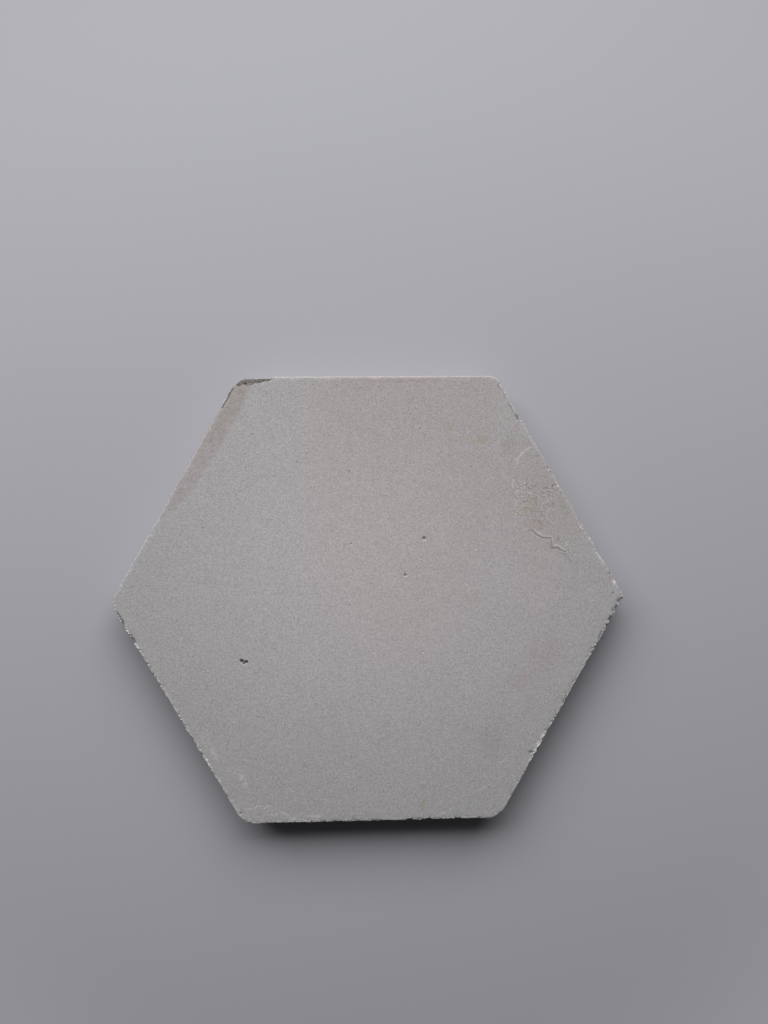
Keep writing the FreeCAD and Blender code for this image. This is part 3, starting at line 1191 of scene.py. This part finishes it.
# The camera looks nearly straight down, as the photograph does
CAMERA_PLACE = (-0.00555, 0.04474)
CAMERA_RISE = 0.34345
CAMERA_TURN = (-0.902, -2.046, -0.556)
CAMERA_LENS = 27.035
CAMERA_CLIP = (0.01, 100.0)


def seen_directly(paint):
    """1 for rays that show a thing itself, straight, mirrored or through glass."""
    rays = paint.node("ShaderNodeLightPath").outputs
    kinds = ("Is Camera Ray", "Is Glossy Ray", "Is Transmission Ray")
    return reduce(partial(paint.math, "MAXIMUM"), [rays[kind] for kind in kinds])


def floor_paint():
    """Plain paint that fades, as the camera sees it, into the pale backdrop far off."""
    paint = Paint(bpy.data.materials.new("floor_paint"))
    shader = paint.tree.nodes["Principled BSDF"]
    looks = {
        "Base Color": tone(FLOOR_PAINT),
        "Roughness": FLOOR_ROUGHNESS,
        "Specular IOR Level": FLOOR_SPECULAR,
    }
    paint.feed(shader, looks)
    away = paint.product(paint.vector("LENGTH", paint.place), MM)
    far = paint.product(paint.ramp(away, *FLOOR_FADE), seen_directly(paint))
    glow = paint.node("ShaderNodeEmission", {"Color": tone(BACKDROP)})
    paint.show("Material Output", far, shader.outputs["BSDF"], glow.outputs["Emission"])
    return paint.block


def add_floor():
    """The plain floor that the tile lies on."""
    half = FLOOR_HALF_WIDTH
    mesh = bpy.data.meshes.new("floor")
    corners = [(-half, -half, 0), (half, -half, 0), (half, half, 0), (-half, half, 0)]
    mesh.from_pydata(corners, [], [(0, 1, 2, 3)])
    mesh.materials.append(floor_paint())
    added("floor", mesh)


def add_daylight():
    """Light from all round, with a pale backdrop where the camera sees past the floor."""
    paint = Paint(bpy.data.worlds.new("studio"))
    bpy.context.scene.world = paint.block
    way = paint.node("ShaderNodeTexCoord").outputs["Generated"]
    turns = enumerate((paint.part(way, "Y"), *DAYLIGHT_TURNS, *DAYLIGHT))
    strength = paint.node("ShaderNodeMapRange", turns).outputs["Result"]
    light = paint.tree.nodes["Background"]
    paint.feed(light, {"Color": (1, 1, 1, 1), "Strength": strength})
    backdrop = paint.node("ShaderNodeBackground", {"Color": tone(BACKDROP)})
    shaders = [node.outputs["Background"] for node in (light, backdrop)]
    paint.show("World Output", seen_directly(paint), *shaders)


def add_key_light():
    """A wide soft light from the north and a little west, like a window."""
    lamp = bpy.data.lights.new("key", "AREA")
    lamp.shape = "RECTANGLE"
    lamp.size, lamp.size_y = KEY_SIZE
    lamp.energy = KEY_POWER
    key = added("key", lamp)
    rise = math.radians(KEY_ELEVATION)
    turn = math.radians(KEY_BEARING)
    level = KEY_DISTANCE * math.cos(rise)
    key.location = (-level * math.sin(turn), level * math.cos(turn), KEY_DISTANCE * math.sin(rise))
    key.rotation_euler = (rise - math.pi / 2, 0, turn)


def add_camera():
    """The photograph's view, from above."""
    lens = bpy.data.cameras.new("camera")
    lens.lens = CAMERA_LENS
    lens.clip_start, lens.clip_end = CAMERA_CLIP
    camera = added("camera", lens)
    camera.location = (*CAMERA_PLACE, cad_high.z + CAMERA_RISE)
    camera.rotation_euler = [math.radians(angle) for angle in CAMERA_TURN]
    bpy.context.scene.camera = camera


tile = worn_tile()
tile.data.materials.append(cement())
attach(tile, BODY)
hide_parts(TILE)
add_floor()
add_daylight()
add_key_light()
add_camera()
bpy.context.scene.view_settings.view_transform = "Standard"
